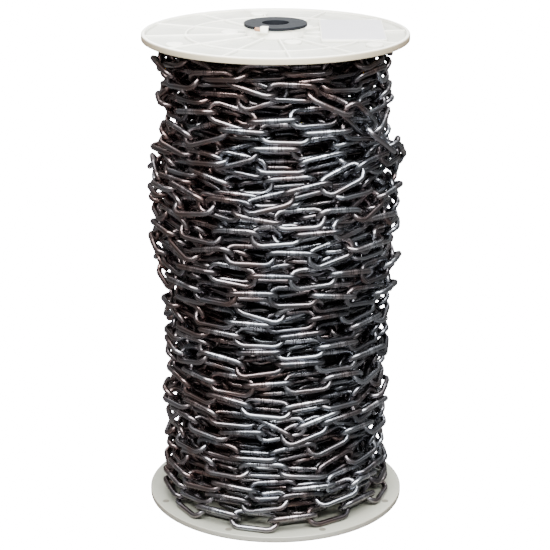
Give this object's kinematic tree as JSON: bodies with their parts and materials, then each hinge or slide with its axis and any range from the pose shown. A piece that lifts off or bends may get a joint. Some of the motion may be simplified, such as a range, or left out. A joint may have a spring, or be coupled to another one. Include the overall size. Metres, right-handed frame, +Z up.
{
  "type": "reel of steel chain",
  "caption": "Long-link welded steel chain wound on a moulded plastic reel that stands on end, with round ribbed flanges and a spindle bore through both hubs.",
  "frame": {"origin": "centre of the lower flange's standing face, on the floor, on the reel's axis", "axes": "+Z up along the reel's axis, from the lower flange to the upper one; -Y is the side that the picture shows"},
  "size_m": [0.225, 0.225, 0.426],
  "materials": {
    "reel_plastic": "ivory-white moulded polypropylene, fine satin skin, scuffed and a little dusty",
    "bush_plastic": "dark grey moulded nylon, satin",
    "tube_board": "spiral-wound grey board, hidden by the chain",
    "chain_steel": "bright drawn and welded mild steel wire with a dark oily film",
    "label_film": "blank satin film label"
  },
  "bodies": {
    "root": {"lower_flange": "reel_plastic", "upper_flange": "reel_plastic", "core_tube": "tube_board", "lower_bush": "bush_plastic", "upper_bush": "bush_plastic", "blank_label": "label_film", "inner_layers": "chain_steel", "chain_turn_01": "chain_steel", "chain_turn_02": "chain_steel", "chain_turn_03": "chain_steel", "chain_turn_04": "chain_steel", "chain_turn_05": "chain_steel", "chain_turn_06": "chain_steel", "chain_turn_07": "chain_steel", "chain_turn_08": "chain_steel", "chain_turn_09": "chain_steel", "chain_turn_10": "chain_steel", "chain_turn_11": "chain_steel", "chain_turn_12": "chain_steel", "chain_turn_13": "chain_steel", "chain_turn_14": "chain_steel", "chain_turn_15": "chain_steel", "chain_turn_16": "chain_steel", "chain_turn_17": "chain_steel", "chain_turn_18": "chain_steel", "chain_turn_19": "chain_steel", "chain_turn_20": "chain_steel", "chain_turn_21": "chain_steel", "chain_turn_22": "chain_steel", "chain_turn_23": "chain_steel", "chain_turn_24": "chain_steel", "chain_turn_25": "chain_steel", "chain_turn_26": "chain_steel", "chain_turn_27": "chain_steel", "chain_turn_28": "chain_steel"}
  },
  "joints": []
}
